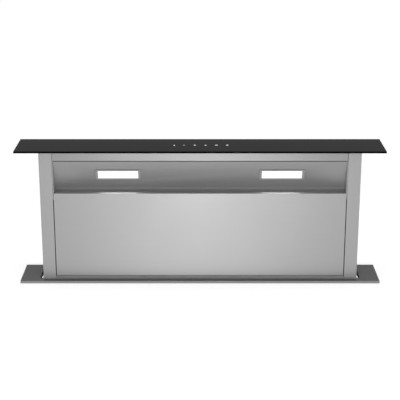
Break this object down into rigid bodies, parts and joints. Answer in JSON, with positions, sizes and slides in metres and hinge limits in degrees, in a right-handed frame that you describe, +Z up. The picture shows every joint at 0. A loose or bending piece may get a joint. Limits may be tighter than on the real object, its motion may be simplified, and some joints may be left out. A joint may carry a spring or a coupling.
{
  "type": "downdraft vent",
  "caption": "Worktop downdraft vent: a lifting steel tower with a glass touch lid, lit inlet recess and filters, over a flat casing with a geared lift and a scroll blower.",
  "frame": {"origin": "centre of the worktop cut-out, level with the worktop's top surface, which is the flange's underside", "axes": "+Z up out of the worktop, +X to the user's right along the slot, -Y towards the user, whom the inlet and the controls face"},
  "size_m": [0.9006, 0.3216, 1.1248],
  "materials": {
    "brushed_steel": "satin brushed stainless, grain along the width",
    "flange_steel": "finely polished stainless",
    "galvanised": "galvanised sheet",
    "black_glass": "polished back-painted black glass with printed touch symbols",
    "lamp_lens": "white lit diffuser",
    "lamp_bezel": "satin warm grey",
    "filter_metal": "pleated aluminium",
    "nylon": "white nylon",
    "rubber": "matte black rubber",
    "black_plastic": "moulded black plastic",
    "motor_paint": "grey painted steel",
    "circuit_board": "green circuit board",
    "gear_steel": "machined steel"
  },
  "bodies": {
    "casing": {"flange": "flange_steel", "flange_seal": "rubber", "slot_wiper_front": "rubber", "slot_wiper_back": "rubber", "casing_front": "galvanised", "casing_back": "galvanised", "casing_side_left": "galvanised", "casing_side_right": "galvanised", "casing_floor": "galvanised", "glide_upper_left": "nylon", "glide_upper_right": "nylon", "glide_lower_left": "nylon", "glide_lower_right": "nylon", "bearing_block_left": "black_plastic", "bearing_block_right": "black_plastic", "lift_motor": "motor_paint", "scroll_housing": "black_plastic", "scroll_cover": "black_plastic", "fan_motor": "motor_paint", "outlet_collar": "black_plastic", "flap_pin": "gear_steel", "control_box": "galvanised", "control_box_cover": "galvanised", "control_board": "circuit_board", "cable_gland": "black_plastic", "worktop_clamp_left": "galvanised", "worktop_clamp_right": "galvanised", "clamp_screw_left": "gear_steel", "clamp_screw_right": "gear_steel"},
    "tower": {"glass_lid": "black_glass", "lid_tray": "galvanised", "touch_board": "circuit_board", "stile_left": "brushed_steel", "stile_right": "brushed_steel", "recess_cheek_left": "brushed_steel", "recess_cheek_right": "brushed_steel", "lintel": "brushed_steel", "lamp_fascia": "brushed_steel", "lamp_bezel_left": "lamp_bezel", "lamp_bezel_right": "lamp_bezel", "lamp_lens_left": "lamp_lens", "lamp_lens_right": "lamp_lens", "lamp_board_left": "circuit_board", "lamp_board_right": "circuit_board", "front_panel": "brushed_steel", "back_panel": "brushed_steel", "tower_sill": "brushed_steel", "grease_filter_left": "filter_metal", "grease_filter_right": "filter_metal", "rack_left": "gear_steel", "rack_right": "gear_steel"},
    "lift_shaft": {"cross_shaft": "gear_steel", "pinion_left": "gear_steel", "pinion_right": "gear_steel", "driven_gear": "gear_steel"},
    "motor_pinion": {"motor_pinion": "gear_steel"},
    "fan_rotor": {"fan_wheel": "galvanised", "fan_shaft": "gear_steel"},
    "flap_front": {"flap_front": "black_plastic"},
    "flap_rear": {"flap_rear": "black_plastic"}
  },
  "joints": [
    {"name": "tower_lift", "type": "slide", "parent": "casing", "child": "tower", "axis": [0, 0, 1], "range_m": [-0.3231, 0]},
    {"name": "lift_shaft_turn", "type": "hinge", "parent": "casing", "child": "lift_shaft", "pos_m": [0, 0, -0.4089], "axis": [1, 0, 0], "range_deg": [0, 1090]},
    {"name": "motor_pinion_turn", "type": "hinge", "parent": "casing", "child": "motor_pinion", "pos_m": [0, 0, -0.4459], "axis": [1, 0, 0], "range_deg": [-1282, 0]},
    {"name": "fan_spin", "type": "hinge", "parent": "casing", "child": "fan_rotor", "pos_m": [0, -0.12, -0.56], "axis": [0, 1, 0], "continuous": true},
    {"name": "flap_front_swing", "type": "hinge", "parent": "casing", "child": "flap_front", "pos_m": [0.10024, -0.1213, -0.7553], "axis": [1, 0, 0], "range_deg": [0, 75], "stiffness_Nm_per_rad": 0.01, "springref_deg": -68.75},
    {"name": "flap_rear_swing", "type": "hinge", "parent": "casing", "child": "flap_rear", "pos_m": [0.10024, -0.1213, -0.7553], "axis": [1, 0, 0], "range_deg": [-75, 0], "stiffness_Nm_per_rad": 0.01, "springref_deg": 68.75}
  ],
  "couplings": [
    {"joint": "lift_shaft_turn", "follows": "tower_lift", "rad_per_m": -58.824},
    {"joint": "motor_pinion_turn", "follows": "tower_lift", "rad_per_m": 69.204}
  ]
}
